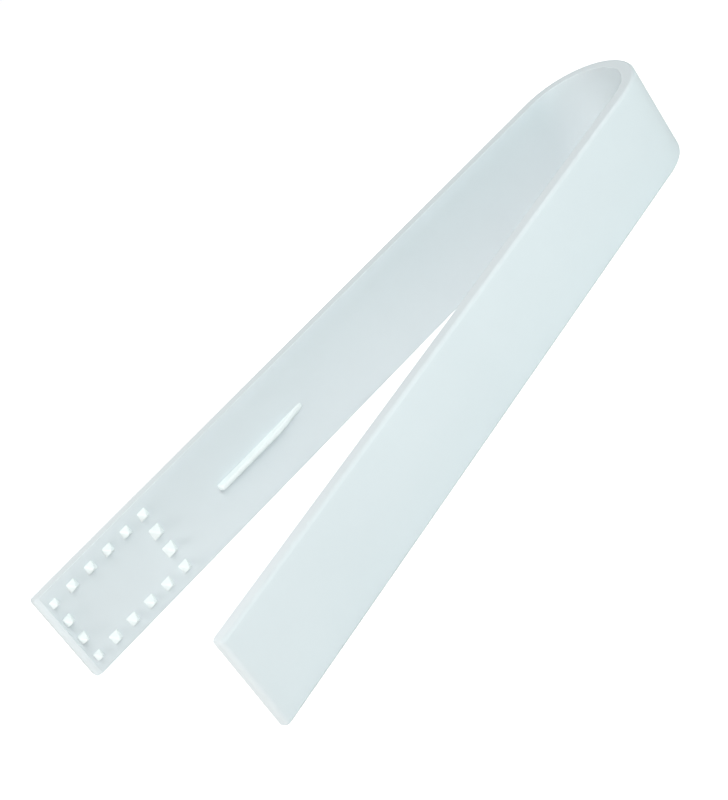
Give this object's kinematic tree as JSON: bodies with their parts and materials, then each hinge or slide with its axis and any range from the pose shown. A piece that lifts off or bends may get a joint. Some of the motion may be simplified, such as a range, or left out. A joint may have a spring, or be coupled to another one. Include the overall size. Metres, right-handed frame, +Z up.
{
  "type": "print tongs",
  "caption": "One-piece sprung tongs for lifting wet prints: two flat arms joined by a bow, with gripping teeth inside one tip and a stop rib further back.",
  "frame": {"origin": "under the middle of the object's box, on the surface that it stands on", "axes": "+Z up, across the strip; +X along the tongs towards the bow; the toothed arm lies at +Y and the plain arm at -Y"},
  "size_m": [0.203, 0.0818, 0.0264],
  "materials": {
    "pale_plastic": "satin moulded plastic, very pale blue-green white"
  },
  "bodies": {
    "bow": {"bow_crown": "pale_plastic"},
    "toothed_arm": {"toothed_arm_shoulder": "pale_plastic", "toothed_arm_blade": "pale_plastic", "toothed_arm_upper_rim": "pale_plastic", "toothed_arm_lower_rim": "pale_plastic", "toothed_arm_tip_lip": "pale_plastic", "stop_rib": "pale_plastic", "grip_tooth_1": "pale_plastic", "grip_tooth_2": "pale_plastic", "grip_tooth_3": "pale_plastic", "grip_tooth_4": "pale_plastic", "grip_tooth_5": "pale_plastic", "grip_tooth_6": "pale_plastic", "grip_tooth_7": "pale_plastic", "grip_tooth_8": "pale_plastic", "grip_tooth_9": "pale_plastic", "grip_tooth_10": "pale_plastic", "grip_tooth_11": "pale_plastic", "grip_tooth_12": "pale_plastic", "grip_tooth_13": "pale_plastic", "grip_tooth_14": "pale_plastic", "grip_tooth_15": "pale_plastic", "grip_tooth_16": "pale_plastic"},
    "plain_arm": {"plain_arm_shoulder": "pale_plastic", "plain_arm_blade": "pale_plastic", "plain_arm_upper_rim": "pale_plastic", "plain_arm_lower_rim": "pale_plastic", "plain_arm_tip_lip": "pale_plastic"}
  },
  "joints": [
    {"name": "squeeze", "type": "hinge", "parent": "bow", "child": "toothed_arm", "pos_m": [0.09397, 0.01009, 0.0132], "axis": [0, 0, 1], "range_deg": [0, 10.7], "stiffness_Nm_per_rad": 3},
    {"name": "plain_arm_bend", "type": "hinge", "parent": "bow", "child": "plain_arm", "pos_m": [0.09397, -0.01009, 0.0132], "axis": [0, 0, -1], "range_deg": [0, 10.7], "stiffness_Nm_per_rad": 3}
  ],
  "couplings": [
    {"joint": "plain_arm_bend", "follows": "squeeze", "ratio": 1}
  ]
}
